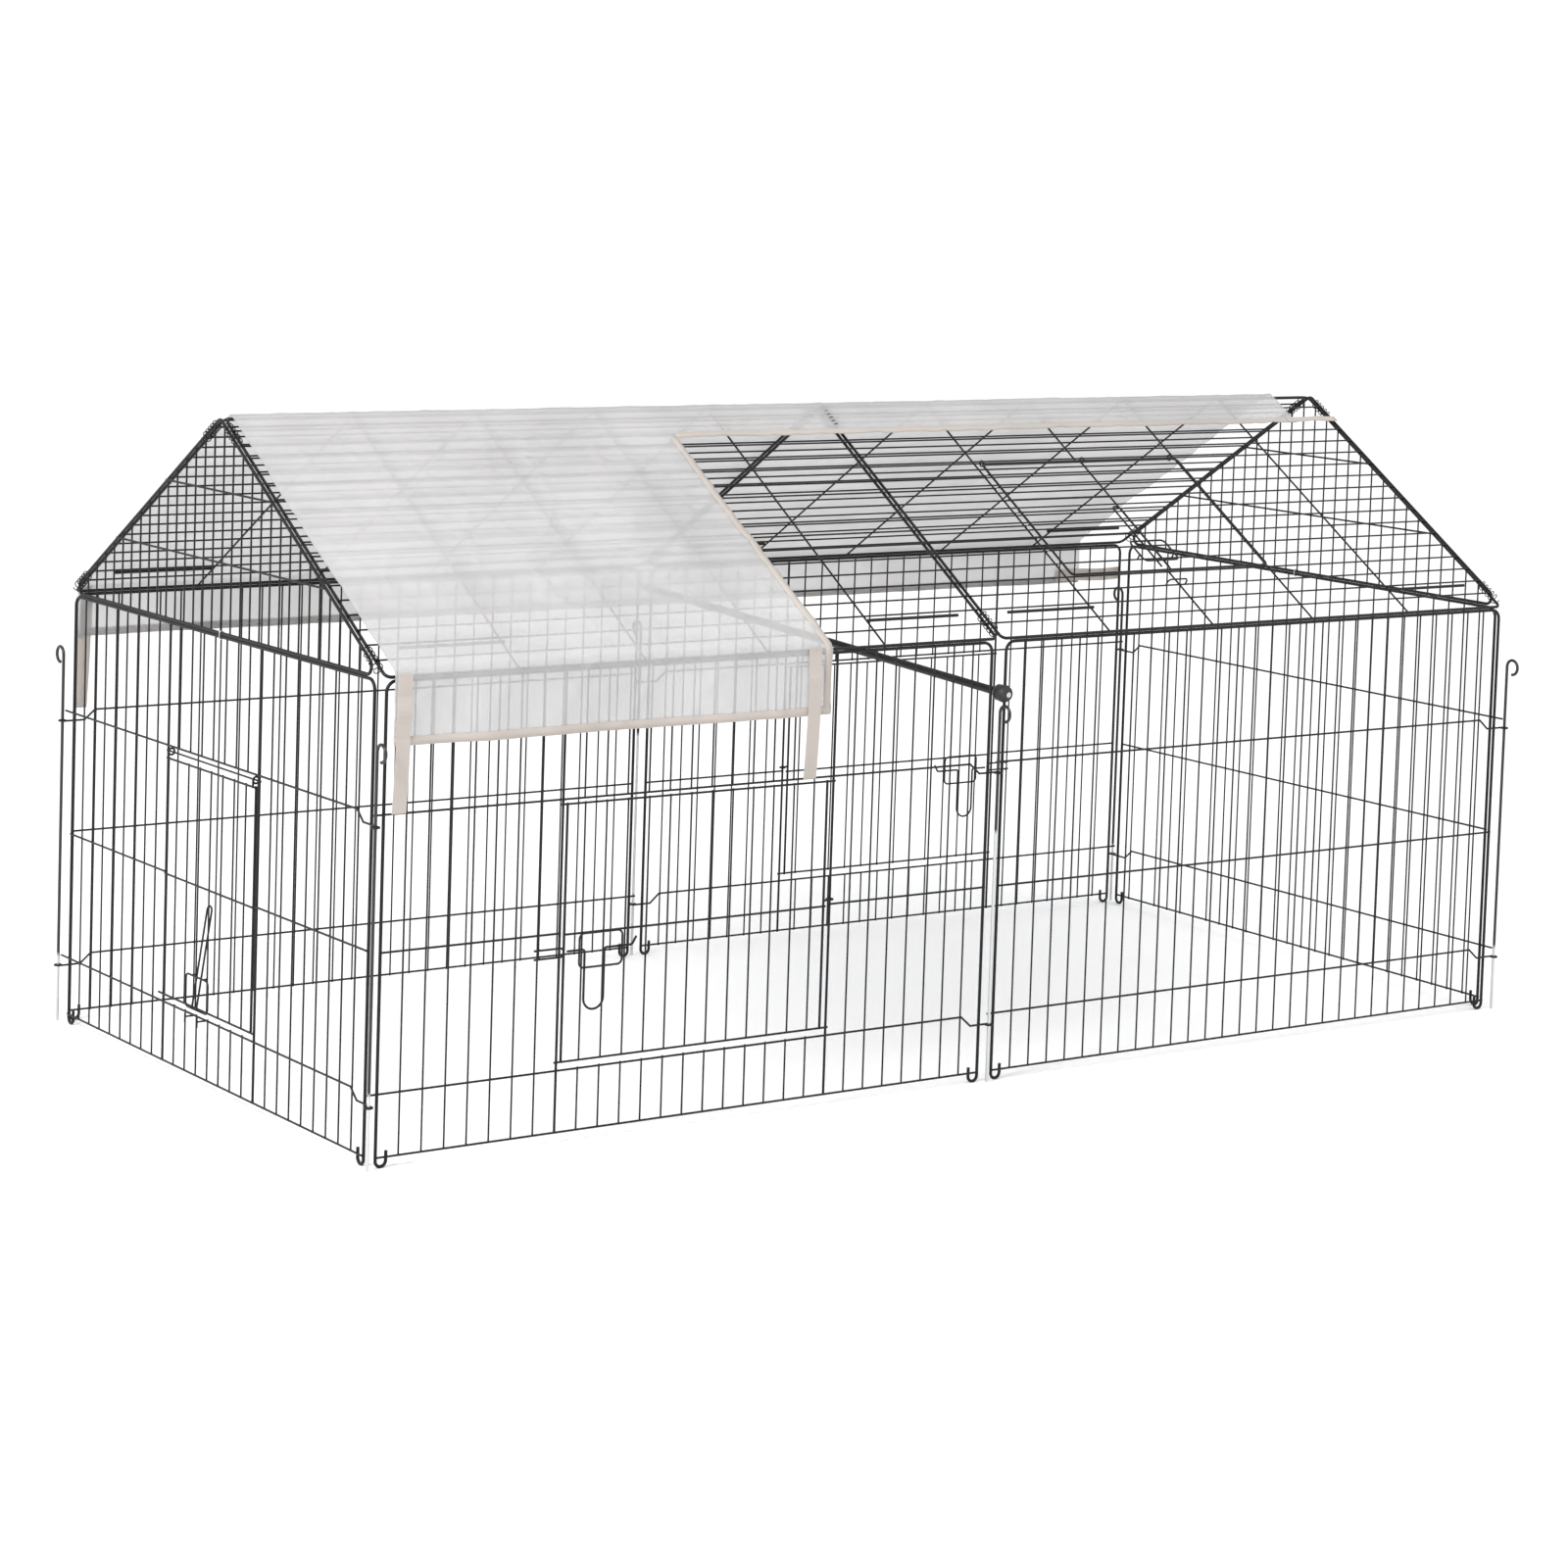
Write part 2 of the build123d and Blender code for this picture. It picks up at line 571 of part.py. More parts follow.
def roof_hatch():
    """The hatch, drawn in its roof panel's place."""
    x0 = ROOF_MIDDLE_INSET + roof_column * HATCH_FIRST_COLUMN + HATCH_GAP
    x1 = ROOF_MIDDLE_INSET + roof_column * HATCH_LAST_COLUMN - HATCH_GAP
    hinge_y = slope_length - roof_row * HATCH_FIRST_ROW
    top = hinge_y - 2 * HATCH_EYE_R
    low = slope_length - roof_row * HATCH_LAST_ROW
    middle = Plane(origin=((x0 + x1) / 2, (top + low) / 2, hatch_out))
    frame_half = HATCH_FRAME_D / 2
    parts = [wire_loop(middle, x1 - x0, top - low, LATCH_FRAME_R, frame_half)]
    for i in range(HATCH_FIRST_ROW + 1, HATCH_LAST_ROW):
        y = slope_length - roof_row * i
        over = frame_half + HATCH_WIRE_OVERHANG
        parts.append(flat_bar((x0 - over, y, hatch_wire_out), (x1 + over, y, hatch_wire_out), bar_r))
    centre = (x0 + x1) / 2
    column_z = hatch_wire_out + bar_r + rail_r - WELD_BITE
    parts.append(round_bar((centre, low, column_z), (centre, top, column_z), rail_r))
    for x in (x0 + 4 * rail_r, centre + HATCH_EYE_SHIFT, x1 - 4 * rail_r):
        parts.append(eye((x, hinge_y, row_out), HATCH_EYE_R, bar_r, (1, 0, 0)))
        parts.append(flat_bar((x, hinge_y, hatch_out), (x, top - frame_half, hatch_out), bar_r))
    guide_x = hatch_latch_x()
    guide_out = hatch_guide_out
    guide_y = low + LATCH_FRAME_HEIGHT / 2 + roof_row / 2
    guide = Plane(origin=(guide_x, guide_y, guide_out))
    parts.append(wire_loop(guide, LATCH_FRAME_WIDTH, LATCH_FRAME_HEIGHT, LATCH_FRAME_R, rail_r))
    post = LATCH_FRAME_WIDTH / 2
    for x in (guide_x - post, guide_x + post):
        row = slope_length - roof_row * (HATCH_LAST_ROW - 1)
        parts.append(round_bar((x, row, hatch_wire_out), (x, row, guide_out), bar_r))
    return one_piece("roof_hatch", weld(parts))


def gable(name):
    """One end triangle, drawn with X to the right from outside, Y inwards and Z up."""
    tan = slope_rise / slope_run
    apex_z = ridge_wire_z + ridge_wire_y * tan
    corners = [(-half_depth, roof_rest_z), (half_depth, roof_rest_z), (0, apex_z)]
    outline = FilletPolyline(*[(x, 0, z) for x, z in corners], radius=GABLE_CORNER_R, close=True)
    parts = [bent_wire(outline, frame_r)]
    side = frame_r / math.cos(math.radians(slope_angle))
    pitch = RUN_DEPTH / GABLE_PITCHES
    for i in range(1, GABLE_PITCHES):
        x = -half_depth + pitch * i
        top = apex_z - abs(x) * tan - side + 2 * WELD_BITE
        low = roof_rest_z + frame_r - WELD_BITE
        if top - low > 2 * BAR_D:
            parts.append(flat_bar((x, 0, low), (x, 0, top), bar_r))
    for z in (GABLE_LOW_RAIL_Z, GABLE_HIGH_RAIL_Z):
        reach = (apex_z - z) / tan
        parts.append(flat_bar((-reach, -rail_out, z), (reach, -rail_out, z), rail_r))
    return one_piece(name, weld(parts))


def biarc(p0, t0, p1, t1):
    """Two tangent arcs from p0 to p1 that leave along t0 and arrive along t1."""
    v, t = p1 - p0, t0 + t1
    spread = 2 * (1 - t0.dot(t1))
    reach = (-v.dot(t) + math.sqrt(v.dot(t) ** 2 + spread * v.dot(v))) / spread
    knee0, knee1 = p0 + t0 * reach, p1 - t1 * reach
    middle = (knee0 + knee1) * 0.5
    along = (knee1 - knee0).normalized()
    return [Edge.make_tangent_arc(p0, t0, middle), Edge.make_tangent_arc(middle, along, p1)]


def clip_points(plane, radius, pitch, turn):
    """Place and direction on a clip's spiral, a number of turns along it."""
    a = 2 * math.pi * turn
    place = Vector(radius * math.cos(a), radius * math.sin(a), pitch * turn)
    way = Vector(-radius * math.sin(a), radius * math.cos(a), pitch / (2 * math.pi))
    origin = plane.from_local_coords(Vector(0, 0, 0))
    return plane.from_local_coords(place), (plane.from_local_coords(way) - origin).normalized()


def spiral_clip(plane, radius, pitch):
    """One clip: an unbroken round wire wound round two neighbouring wires."""
    edges = []
    for i in range(4 * CLIP_TURNS):
        p0, t0 = clip_points(plane, radius, pitch, i / 4)
        p1, t1 = clip_points(plane, radius, pitch, (i + 1) / 4)
        edges += biarc(p0, t0, p1, t1)
    return bent_wire(Wire(edges), CLIP_WIRE_D / 2)


def least_self_gap(radius, pitch):
    """The least gap between a clip's turns, measured on points a turn or so apart."""
    flat = Plane.XY
    here = [clip_points(flat, radius, pitch, i / 48)[0] for i in range(48 * 3)]
    gaps = [(here[j] - here[i]).length for i in range(0, 48, 6) for j in range(i + 24, len(here))]
    return min(gaps) - CLIP_WIRE_D


def pin(name, x, y, top_z, curl_out):
    """A drop pin: a straight rod, curled over at the top into a ring to pull it by."""
    away, up = Vector(*curl_out), Vector(0, 0, 1)
    first = Vector(x, y, top_z - CURL_R)
    centre = first + away * CURL_R
    top, far, last = centre + up * CURL_R, centre + away * CURL_R, centre - up * CURL_R
    slant = CURL_R * math.sqrt(0.5)
    with BuildLine() as path:
        Line((x, y, 0), first)
        ThreePointArc(first, centre + (up - away) * slant, top)
        ThreePointArc(top, centre + (away + up) * slant, far)
        ThreePointArc(far, centre + (away - up) * slant, last)
    return one_piece(name, bent_wire(path.line, pin_r))


# Rain cover: one folded sheet, its section drawn from hem to hem


def slope_point(side, down, lift):
    """A point on one slope's section: down from the ridge wire, lifted out of the slope."""
    a = math.radians(slope_angle)
    y = ridge_wire_y + down * math.cos(a) + lift * math.sin(a)
    z = ridge_wire_z - down * math.sin(a) + lift * math.cos(a)
    return side * y, z


def cover_section(front_end, lift):
    """The sheet's line at a given lift, from the back hem to the front one."""
    stand = VALANCE_STANDOFF + lift - COVER_LIFT
    a = math.radians(slope_angle)
    wall_y = half_depth + stand
    down = (wall_y - ridge_wire_y - lift * math.sin(a)) / math.cos(a)
    ridge_z = ridge_wire_z + lift / math.cos(a) + ridge_wire_y * math.tan(a)
    line = [(wall_y, BACK_VALANCE_Z), slope_point(1, down, lift), (0, ridge_z)]
    if front_end == "valance":
        line += [slope_point(-1, down, lift), (-wall_y, FRONT_VALANCE_Z)]
    else:
        line.append(slope_point(-1, COVER_STRIP, lift))
    return line


def cover_piece(x0, x1, front_end):
    """A length of the sheet with its thickness, from x0 to x1."""
    inside = cover_section(front_end, COVER_LIFT)
    outside = cover_section(front_end, COVER_LIFT + COVER_T)
    ring = [(x0, y, z) for y, z in inside + outside[::-1]]
    return Solid.extrude(Face(Wire.make_polygon(ring)), Vector(x1 - x0, 0, 0))


def rain_cover():
    sheet = cover_piece(COVER_LEFT_X, COVER_FLAP_X, "valance")
    return one_piece("rain_cover", sheet.fuse(cover_piece(COVER_FLAP_X, COVER_RIGHT_X, "strip")))


def strap(x, y, top_z, low_z):
    return Pos(x, y, (top_z + low_z) / 2) * Box(STRAP_W, STRAP_T, top_z - low_z)


def cover_straps():
    """Tie straps at the cover's corners."""
    front_y = -(half_depth + VALANCE_STANDOFF - STRAP_T / 2 - PIECE_GAP)
    top = FRONT_VALANCE_Z + 2 * STRAP_W
    straps = [strap(x, front_y, top, STRAP_END_Z) for x in (LEFT_STRAP_X, RIGHT_STRAP_X)]
    straps.append(strap(LEFT_STRAP_X, -front_y, BACK_VALANCE_Z + 2 * STRAP_W, STRAP_END_Z))
    run = LEVEL_STRAP_END_X - LEVEL_STRAP_START_X
    straps.append(Pos(LEVEL_STRAP_START_X + run / 2, -front_y, LEVEL_STRAP_Z) * Box(run, STRAP_T, STRAP_W))
    return Compound(children=straps)


# Cross tube: it runs between the panels' edge wires and is held by a knob and by a plain screw
tube_stand = half_depth + frame_r + TUBE_END_GAP
tube_front = Vector(0, -tube_stand, TUBE_FRONT_Z)
tube_back = Vector(0, tube_stand, TUBE_BACK_Z)
tube_run = tube_back - tube_front


def along_tube(front, inwards):
    """A plane on the tube's line, a distance in from one end, that faces out of that end."""
    way = tube_run.normalized() if front else tube_run.normalized() * -1
    start = tube_front if front else tube_back
    return Plane(origin=start + way * inwards, z_dir=way * -1)


def drilled(solid, plane, radius, reach):
    """The solid with a hole down from the plane."""
    return solid.cut(Solid.make_cylinder(radius, reach, plane.offset(-reach)))


def cross_tube():
    length = tube_run.length
    outer = Solid.make_cylinder(TUBE_D / 2, length, along_tube(False, length))
    return drilled(outer, along_tube(False, -1), TUBE_D / 2 - TUBE_WALL, length + 2)


def tube_plug(front):
    radius = TUBE_D / 2 - TUBE_WALL - PLUG_GAP
    plug = Solid.make_cylinder(radius, PLUG_LENGTH, along_tube(front, PLUG_LENGTH))
    return drilled(plug, along_tube(front, -1), SCREW_D / 2 + PLUG_GAP, PLUG_LENGTH + 2)


def washer(front):
    ring = Solid.make_cylinder(WASHER_D / 2, WASHER_T, along_tube(front, 0))
    return drilled(ring, along_tube(front, -2 * WASHER_T), SCREW_D / 2 + SCREW_GAP, 3 * WASHER_T)


def screw(front, head_out):
    """A domed-head screw whose head sits a distance out from the tube's end."""
    head = Solid.make_cylinder(SCREW_HEAD_D / 2, SCREW_HEAD_T, along_tube(front, -head_out))
    head = head.fillet(SCREW_HEAD_T / 2, [head.edges().sort_by(Axis.Y)[0 if front else -1]])
    reach = head_out + SCREW_LENGTH - SCREW_HEAD_T
    return head.fuse(Solid.make_cylinder(SCREW_D / 2, reach, along_tube(front, reach - head_out)))


def knob():
    """A ball with a flat back, and a pocket that the screw's head sits in."""
    plane = along_tube(True, -WASHER_T - KNOB_D / 2 + KNOB_FLAT)
    ball = Solid.make_sphere(KNOB_D / 2, plane)
    back = along_tube(True, -WASHER_T)
    ball = ball.cut(Solid.make_cylinder(KNOB_D, KNOB_D, back.offset(-KNOB_D)))
    ball = drilled(ball, along_tube(True, -WASHER_T - KNOB_D), SCREW_D / 2 + SCREW_GAP, 2 * KNOB_D)
    pocket = along_tube(True, -WASHER_T - KNOB_D)
    return drilled(ball, pocket, SCREW_HEAD_D / 2 + SCREW_GAP, KNOB_POCKET)


def gable_tie():
    """A wire tie round a gable's base wire and the wall's top wire, beside the middle bar."""
    wrap = FRAME_D + 2 * CLIP_CLEAR + CLIP_WIRE_D
    height = roof_rest_z - EAVE_HEIGHT + wrap
    middle = (end_pitch / 2, 0, (roof_rest_z + EAVE_HEIGHT) / 2)
    upright = Plane(origin=middle, x_dir=(0, 1, 0), z_dir=(1, 0, 0))
    return wire_loop(upright, wrap, height, (wrap - BEND_ROOM) / 2, CLIP_WIRE_D / 2)


def save(name, shape):
    export_step(shape, f"parts/{name}.step")


os.makedirs("parts", exist_ok=True)

# Walls
door_span = (DOOR_LEFT_PITCH, DOOR_RIGHT_PITCH)
end_span = (END_DOOR_LEFT_PITCH, END_DOOR_RIGHT_PITCH)
corner_gap = CORNER_GAP + pin_out
end_gap = half_depth + pin_out - END_PANEL_WIDTH / 2
front_left = Pos(-long_panel_x, -half_depth, 0)
front_right = Pos(long_panel_x, -half_depth, 0)
back_right = Pos(long_panel_x, half_depth, 0) * Rot(0, 0, 180)
back_left = Pos(-long_panel_x, half_depth, 0) * Rot(0, 0, 180)
left_end = Pos(-half_length, 0, 0) * Rot(0, 0, -90)
right_end = Pos(half_length, 0, 0) * Rot(0, 0, 90)

with_door = wall_panel("door panel", long_panel_width, LONG_PITCHES, corner_gap, MIDDLE_GAP,
                       door_span, handle_keeper)
plain = wall_panel("plain panel", long_panel_width, LONG_PITCHES, MIDDLE_GAP, corner_gap)
save("front_left_panel", front_left * with_door)
save("back_right_panel", back_right * with_door)
save("front_right_panel", front_right * plain)
save("back_left_panel", back_left * plain)


def end_fittings():
    return end_hinge_rod() + end_arch(end_latch_x)


end_with_door = wall_panel("end door panel", END_PANEL_WIDTH, END_PITCHES, end_gap, end_gap,
                           end_span, end_fittings)
end_plain = wall_panel("end panel", END_PANEL_WIDTH, END_PITCHES, end_gap, end_gap)
save("left_end_panel", left_end * end_with_door)
save("right_end_panel", right_end * end_plain)

# Doors and bolts
door = long_door()
bolt = handle_bolt()
save("front_door", front_left * door)
save("back_door", back_right * door)
save("front_door_bolt", front_left * bolt)
save("back_door_bolt", back_right * bolt)
save("end_door", left_end * end_door())
tips = (end_latch_x, -end_tip_out, end_tip_z)
save("end_door_bolt", left_end * hairpin_bolt(tips, (0, 0, 1), (0, -1, 0), HAIRPIN_LEAN))

# Roof
front_right_roof, back_left_roof = roof_plane(True), roof_plane(False)
quarter = roof_panel("roof panel")
save("roof_front_left", mirror(front_right_roof * quarter, Plane.YZ))
save("roof_back_left", back_left_roof * quarter)
save("roof_back_right", mirror(back_left_roof * quarter, Plane.YZ))
save("roof_front_right", front_right_roof * roof_panel("hatch panel", hatch=True))
save("roof_hatch", front_right_roof * roof_hatch())
hatch_low = slope_length - roof_row * HATCH_LAST_ROW
hatch_tips = (hatch_latch_x(), hatch_low + HAIRPIN_TIP_CLEAR, hatch_bolt_out)
save("hatch_bolt", front_right_roof * hairpin_bolt(hatch_tips, (0, 1, 0), (0, 0, 1)))
triangle = gable("gable")
save("left_gable", left_end * triangle)
save("right_gable", right_end * triangle)

# Spiral clips, in the middle and at both gables, near the eaves and near the ridge
grip = frame_r + CLIP_CLEAR + CLIP_WIRE_D / 2
middle_clip_r = ROOF_MIDDLE_INSET + grip
gable_clip_r = ROOF_EDGE_INSET / 2 + grip
gable_clip_x = half_length - ROOF_EDGE_INSET / 2


def slope_clips(x, radius, starts):
    """The two clips at one edge of the front slope, each a distance up from the eave wire."""
    slope = roof_plane(True)
    made = []
    for start in starts:
        place = slope.from_local_coords(Vector(x, start, 0))
        axis = Plane(origin=place, x_dir=slope.x_dir, z_dir=slope.y_dir)
        made.append(spiral_clip(axis, radius, CLIP_PITCH))
    return made


turned = Rot(0, 0, 180)
middle_clips = slope_clips(0, middle_clip_r, MIDDLE_CLIP_STARTS)
right_clips = slope_clips(gable_clip_x, gable_clip_r, GABLE_CLIP_STARTS)
front_clips = middle_clips + right_clips + [mirror(c, Plane.YZ) for c in right_clips]
clips = front_clips + [turned * c for c in front_clips]
print("least gap between a clip's turns", round(least_self_gap(gable_clip_r, CLIP_PITCH), 2))
save("spiral_clips", Compound(children=clips))
save("gable_ties", Compound(children=[left_end * gable_tie(), right_end * gable_tie()]))

# Pins, each curled straight out from its wall
corner_x, corner_y = half_length + pin_out, half_depth + pin_out
for wall, side in (("front", -1), ("back", 1)):
    for place, x, top_z in (("left", -corner_x, CORNER_PIN_TOP_Z), ("middle", 0, MIDDLE_PIN_TOP_Z),
                            ("right", corner_x, CORNER_PIN_TOP_Z)):
        save(f"{wall}_{place}_pin", pin(f"{wall}_{place}_pin", x, side * corner_y, top_z, (0, side, 0)))

# Cross tube
save("cross_tube", cross_tube())
save("tube_plugs", Compound(children=[tube_plug(True), tube_plug(False)]))
save("tube_washers", Compound(children=[washer(True), washer(False)]))
save("tube_knob", knob())
save("knob_screw", screw(True, WASHER_T + KNOB_D - KNOB_POCKET))
save("back_screw", screw(False, WASHER_T))

# Cover
save("rain_cover", rain_cover())
save("cover_straps", cover_straps())
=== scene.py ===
import math

import bmesh
import bpy
from mathutils import Matrix, Vector, noise


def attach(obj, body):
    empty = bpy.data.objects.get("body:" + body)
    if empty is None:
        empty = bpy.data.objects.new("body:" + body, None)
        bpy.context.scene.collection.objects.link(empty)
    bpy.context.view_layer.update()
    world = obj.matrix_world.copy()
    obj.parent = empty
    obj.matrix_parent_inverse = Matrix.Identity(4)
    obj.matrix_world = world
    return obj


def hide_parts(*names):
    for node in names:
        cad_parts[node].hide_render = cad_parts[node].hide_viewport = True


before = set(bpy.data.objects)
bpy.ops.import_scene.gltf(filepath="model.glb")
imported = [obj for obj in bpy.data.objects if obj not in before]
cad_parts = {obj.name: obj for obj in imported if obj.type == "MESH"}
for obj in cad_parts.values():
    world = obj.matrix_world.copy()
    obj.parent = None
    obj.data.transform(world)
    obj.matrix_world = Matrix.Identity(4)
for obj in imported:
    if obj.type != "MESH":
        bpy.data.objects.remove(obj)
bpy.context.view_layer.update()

# The rain cover's sizes in metres, as the solid has them
HALF_DEPTH = 0.515
EAVE_Z = 0.7053
RIDGE_Z = 1.0275
RIDGE_Y = 0.00265
COVER_LIFT = 0.0106
LEFT_X, FLAP_X, RIGHT_X = -1.084, -0.329, 1.000
STRIP = 0.084
STANDOFF = 0.0095
FRONT_HEM_Z, BACK_HEM_Z = 0.608, 0.630
STRAP_W, STRAP_END_Z = 0.023, 0.512
LEVEL_STRAP = (0.938, 1.095, 0.645)

# Sizes that only the visible cover has, and where it differs from the solid
CLOTH_T, CLOTH_STEP = 0.0008, 0.009
TAPE_W, TAPE_T, TAPE_LIFT = 0.013, 0.0006, 0.0011
TIE_X, TIE_OVERLAP = 1.097, 0.02
STRAP_XS = (-1.069, -0.362)
STRAP_T, STRAP_STAND, STRAP_DRIFT, STRAP_STEPS = 0.001, 0.0012, 0.006, 30
LEVEL_STRAP_IN, LEVEL_STRAP_WAVE, LEVEL_STRAP_STEPS = 0.002, 0.0012, 20

# Unevenness of the cloth: broad swells, and networks of creases by slant, size, seed and height
SWELL_X, SWELL_S, SWELL_SEED, SWELL_HEIGHT, SWELL_MEAN = 3.1, 2.3, 4.0, 0.0025, 0.0008
CREASES = ((5.0, 8.0, 9.0, 0.0030), (-7.0, 12.0, 21.0, 0.0022))
CREASE_WIDTH, CREASE_STRETCH = 0.13, 0.6
LOWEST = -0.0008

# The cloth is calm by the ridge, where it also lies lower than further down, on the stiffeners
CALM_REACH, CALM_SHARE = 0.10, 0.25
SETTLE, SETTLE_REACH, SETTLE_FADE = 0.0035, 0.30, 0.15
RIDGE_BEND, RIDGE_ROUND = 0.012, 0.6

# Folds of the valances
FOLD_HEIGHT, FOLD_MEAN, FOLD_FADE = 0.0035, 0.6, 0.07

# Heights at which the pins' black coat ends
CORNER_COAT_Z, MIDDLE_COAT_Z, COAT_FADE = 0.11, 0.40, 0.004

# A wave node's phase per metre, at a scale of one
WAVE_RATE = 20

# The camera that was fitted to the photo: angles in degrees, its place in metres
FOCAL_PX, FRAME_PX, SENSOR_MM = 4075.01, 1600.0, 36.0
SHIFT_PX = (-74.94, -370.62)
TURN, TILT, ROLL = -35.79, 4.52, 1.94
CAMERA_AT = (-3.82753, -5.42303, 1.53197)

FLOOR_HALF = 150
WORLD_STRENGTH = 1.06

# Worked out from the sizes above. Along the cover's line s runs from the ridge, positive down the front
SLOPE = math.atan2(RIDGE_Z - EAVE_Z, HALF_DEPTH - RIDGE_Y)
WALL_Y = HALF_DEPTH + STANDOFF
SLOPE_S = (WALL_Y - RIDGE_Y - COVER_LIFT * math.sin(SLOPE)) / math.cos(SLOPE)
FOLD_Z = RIDGE_Z - SLOPE_S * math.sin(SLOPE) + COVER_LIFT * math.cos(SLOPE)
FRONT_S = SLOPE_S + FOLD_Z - FRONT_HEM_Z
BACK_S = -(SLOPE_S + FOLD_Z - BACK_HEM_Z)


# Materials
def new_material(name, colour, rough, metal=0.0):
    mat = bpy.data.materials.new(name)
    mat.use_nodes = True
    shader = mat.node_tree.nodes["Principled BSDF"]
    shader.inputs["Base Color"].default_value = (*colour, 1)
    shader.inputs["Roughness"].default_value = rough
    shader.inputs["Metallic"].default_value = metal
    return mat, mat.node_tree, shader


def place(tree):
    return tree.nodes.new("ShaderNodeNewGeometry").outputs["Position"]


def noise_value(tree, scale, detail=3.0):
    node = tree.nodes.new("ShaderNodeTexNoise")
    node.inputs["Scale"].default_value = scale
    node.inputs["Detail"].default_value = detail
    tree.links.new(place(tree), node.inputs["Vector"])
    return node.outputs["Fac"]


def ramp(tree, value, stops):
    node = tree.nodes.new("ShaderNodeValToRGB")
    while len(node.color_ramp.elements) < len(stops):
        node.color_ramp.elements.new(0.5)
    for element, (at, colour) in zip(node.color_ramp.elements, stops):
        element.position = at
        element.color = (*colour, 1)
    tree.links.new(value, node.inputs["Fac"])
    return node.outputs["Color"]


def add_tone(tree, shader, scale, stops, detail=3.0):
    """Let the base colour drift between the stops' colours."""
    tone = ramp(tree, noise_value(tree, scale, detail), stops)
    tree.links.new(tone, shader.inputs["Base Color"])
    return tone


def add_bump(tree, shader, height, strength, distance):
    node = tree.nodes.new("ShaderNodeBump")
    node.inputs["Strength"].default_value = strength
    node.inputs["Distance"].default_value = distance
    tree.links.new(height, node.inputs["Height"])
    tree.links.new(node.outputs["Normal"], shader.inputs["Normal"])


def powder_coat():
    """Satin black powder coat: a fine orange peel and a slight change of tone."""
    mat, tree, shader = new_material("powder_coat", (0.008, 0.008, 0.009), 0.42)
    shader.inputs["Specular IOR Level"].default_value = 0.22
    add_tone(tree, shader, 14.0, [(0.3, (0.005, 0.005, 0.006)), (0.75, (0.013, 0.013, 0.014))])
    add_bump(tree, shader, noise_value(tree, 900.0, 2.0), 0.25, 0.0003)
    return mat


def zinc():
    """Bright zinc plate with a mottled tone and a fine grain."""
    mat, tree, shader = new_material("zinc", (0.62, 0.63, 0.64), 0.32, 1.0)
    add_tone(tree, shader, 60.0, [(0.3, (0.50, 0.51, 0.52)), (0.7, (0.72, 0.73, 0.74))])
    add_bump(tree, shader, noise_value(tree, 700.0), 0.15, 0.0002)
    return mat


def two_tone_pin(change_z):
    """A pin coated black above a height and left in bright zinc below it."""
    mat, tree, shader = new_material("pin_coat", (0.3, 0.3, 0.3), 0.36)
    split = tree.nodes.new("ShaderNodeSeparateXYZ")
    tree.links.new(place(tree), split.inputs["Vector"])
    above = tree.nodes.new("ShaderNodeMapRange")
    above.inputs["From Min"].default_value = change_z - COAT_FADE
    above.inputs["From Max"].default_value = change_z + COAT_FADE
    tree.links.new(split.outputs["Z"], above.inputs["Value"])
    colour = ramp(tree, above.outputs["Result"], [(0.0, (0.60, 0.61, 0.62)), (1.0, (0.012, 0.012, 0.013))])
    tree.links.new(colour, shader.inputs["Base Color"])
    metal = tree.nodes.new("ShaderNodeMath")
    metal.operation = "SUBTRACT"
    metal.inputs[0].default_value = 1.0
    tree.links.new(above.outputs["Result"], metal.inputs[1])
    tree.links.new(metal.outputs["Value"], shader.inputs["Metallic"])
    add_bump(tree, shader, noise_value(tree, 800.0), 0.2, 0.0002)
    return mat


def moulded():
    """Matt moulded plastic."""
    mat, tree, shader = new_material("moulded_plastic", (0.014, 0.014, 0.015), 0.55)
    add_tone(tree, shader, 40.0, [(0.3, (0.011, 0.011, 0.012)), (0.7, (0.020, 0.020, 0.021))])
    add_bump(tree, shader, noise_value(tree, 1400.0), 0.2, 0.0002)
    return mat


def weave(tree, size):
    """Threads over and under, as a height. A wave's length is 2 pi times the size."""
    heights = []
    for direction in ("X", "Y"):
        wave = tree.nodes.new("ShaderNodeTexWave")
        wave.bands_direction = direction
        wave.inputs["Scale"].default_value = 1 / (size * WAVE_RATE)
        tree.links.new(place(tree), wave.inputs["Vector"])
        heights.append(wave.outputs["Fac"])
    both = tree.nodes.new("ShaderNodeMath")
    both.operation = "MULTIPLY"
    tree.links.new(heights[0], both.inputs[0])
    tree.links.new(heights[1], both.inputs[1])
    return both.outputs["Value"]


def cloth(name, low, high, translucent, alpha):
    """Woven polyester: a share of it lets light through, and alpha below one makes it sheer."""
    mat, tree, shader = new_material(name, high, 0.78)
    tone = add_tone(tree, shader, 5.0, [(0.3, low), (0.7, high)], 5.0)
    shader.inputs["Alpha"].default_value = alpha
    shader.inputs["Sheen Weight"].default_value = 0.15
    add_bump(tree, shader, weave(tree, 0.0014), 0.3, 0.0003)
    glow = tree.nodes.new("ShaderNodeBsdfTranslucent")
    tree.links.new(tone, glow.inputs["Color"])
    mix = tree.nodes.new("ShaderNodeMixShader")
    mix.inputs["Fac"].default_value = translucent
    tree.links.new(shader.outputs["BSDF"], mix.inputs[1])
    tree.links.new(glow.outputs["BSDF"], mix.inputs[2])
    out = next(n for n in tree.nodes if n.type == "OUTPUT_MATERIAL")
    tree.links.new(mix.outputs["Shader"], out.inputs["Surface"])
    return mat


